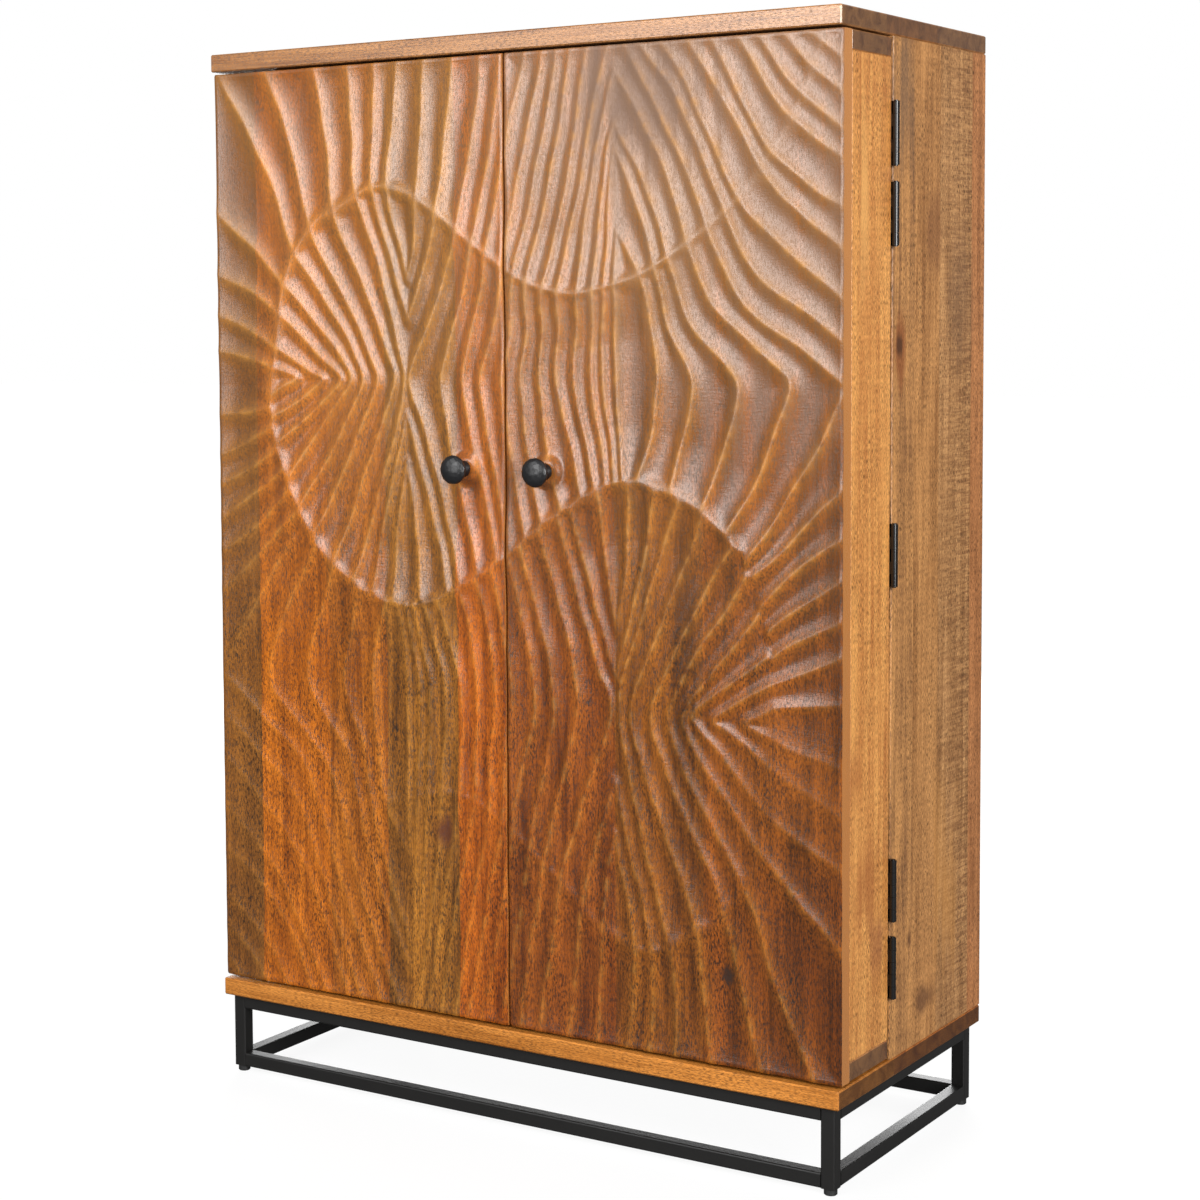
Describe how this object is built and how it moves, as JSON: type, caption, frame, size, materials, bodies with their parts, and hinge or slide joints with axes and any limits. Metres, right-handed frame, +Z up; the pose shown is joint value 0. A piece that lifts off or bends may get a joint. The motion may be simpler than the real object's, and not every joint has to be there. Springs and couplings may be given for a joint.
{
  "type": "bar cabinet",
  "caption": "Free-standing bar cabinet with two carved box doors on butt hinges, bottle shelves in the doors, stemware rails inside and a square-tube steel base.",
  "frame": {"origin": "on the floor, under the centre of the whole outline, knobs and hinge barrels included", "axes": "+Z up, the doors face -Y, +X to the right as seen from the front"},
  "size_m": [0.816, 0.394, 1.2],
  "materials": {
    "carved_mango_wood": "carved, satin lacquer",
    "mango_wood": "satin lacquer",
    "back_plywood": "stained veneer",
    "beech_dowel": "bare",
    "powder_coated_steel": "matt powder coat",
    "blackened_steel": "black, satin",
    "hammered_iron": "hammered, blackened",
    "zinc_plated_steel": "zinc plated",
    "magnet_nickel": "nickel plated",
    "black_plastic": "moulded"
  },
  "bodies": {
    "carcass": {"back_panel": "back_plywood", "back_panel_screws": "zinc_plated_steel", "base_corner_plates": "powder_coated_steel", "base_front_bottom_rail": "powder_coated_steel", "base_front_top_rail": "powder_coated_steel", "base_left_bottom_rail": "powder_coated_steel", "base_left_top_rail": "powder_coated_steel", "base_rear_bottom_rail": "powder_coated_steel", "base_rear_top_rail": "powder_coated_steel", "base_right_bottom_rail": "powder_coated_steel", "base_right_top_rail": "powder_coated_steel", "base_screws": "zinc_plated_steel", "bottom_panel": "mango_wood", "carcass_dowels": "beech_dowel", "fixed_shelf": "mango_wood", "front_left_leg": "powder_coated_steel", "front_right_leg": "powder_coated_steel", "hinge_carcass_screws": "zinc_plated_steel", "hinge_pins": "blackened_steel", "left_hinge_carcass_leaves": "blackened_steel", "left_side_panel": "mango_wood", "leg_inserts": "black_plastic", "loose_shelf": "mango_wood", "magnet_catches": "magnet_nickel", "rear_left_leg": "powder_coated_steel", "rear_right_leg": "powder_coated_steel", "right_hinge_carcass_leaves": "blackened_steel", "right_side_panel": "mango_wood", "shelf_pins": "zinc_plated_steel", "stemware_battens": "mango_wood", "stemware_slats": "mango_wood", "top_panel": "mango_wood"},
    "front_left_foot": {"front_left_foot": "black_plastic"},
    "front_right_foot": {"front_right_foot": "black_plastic"},
    "left_door": {"left_door_bottle_rails": "mango_wood", "left_door_bottom_board": "mango_wood", "left_door_front": "carved_mango_wood", "left_door_inner_side": "mango_wood", "left_door_outer_side": "mango_wood", "left_door_shelves": "mango_wood", "left_door_strike": "zinc_plated_steel", "left_door_top_board": "mango_wood", "left_hinge_door_leaves": "blackened_steel", "left_hinge_door_screws": "zinc_plated_steel", "left_knob": "hammered_iron", "left_knob_screw": "zinc_plated_steel"},
    "rear_left_foot": {"rear_left_foot": "black_plastic"},
    "rear_right_foot": {"rear_right_foot": "black_plastic"},
    "right_door": {"right_door_bottle_rails": "mango_wood", "right_door_bottom_board": "mango_wood", "right_door_front": "carved_mango_wood", "right_door_inner_side": "mango_wood", "right_door_outer_side": "mango_wood", "right_door_shelves": "mango_wood", "right_door_strike": "zinc_plated_steel", "right_door_top_board": "mango_wood", "right_hinge_door_leaves": "blackened_steel", "right_hinge_door_screws": "zinc_plated_steel", "right_knob": "hammered_iron", "right_knob_screw": "zinc_plated_steel"}
  },
  "joints": [
    {"name": "left_door_swing", "type": "hinge", "parent": "carcass", "child": "left_door", "pos_m": [-0.4042, -0.0517, 0.647], "axis": [0, 0, -1], "range_deg": [0, 180]},
    {"name": "right_door_swing", "type": "hinge", "parent": "carcass", "child": "right_door", "pos_m": [0.4042, -0.0517, 0.647], "axis": [0, 0, 1], "range_deg": [0, 180]},
    {"name": "front_left_foot_turn", "type": "hinge", "parent": "carcass", "child": "front_left_foot", "pos_m": [-0.384, -0.157, 0], "axis": [0, 0, -1], "range_deg": [0, 2880]},
    {"name": "front_right_foot_turn", "type": "hinge", "parent": "carcass", "child": "front_right_foot", "pos_m": [0.384, -0.157, 0], "axis": [0, 0, -1], "range_deg": [0, 2880]},
    {"name": "rear_left_foot_turn", "type": "hinge", "parent": "carcass", "child": "rear_left_foot", "pos_m": [-0.384, 0.181, 0], "axis": [0, 0, -1], "range_deg": [0, 2880]},
    {"name": "rear_right_foot_turn", "type": "hinge", "parent": "carcass", "child": "rear_right_foot", "pos_m": [0.384, 0.181, 0], "axis": [0, 0, -1], "range_deg": [0, 2880]}
  ]
}
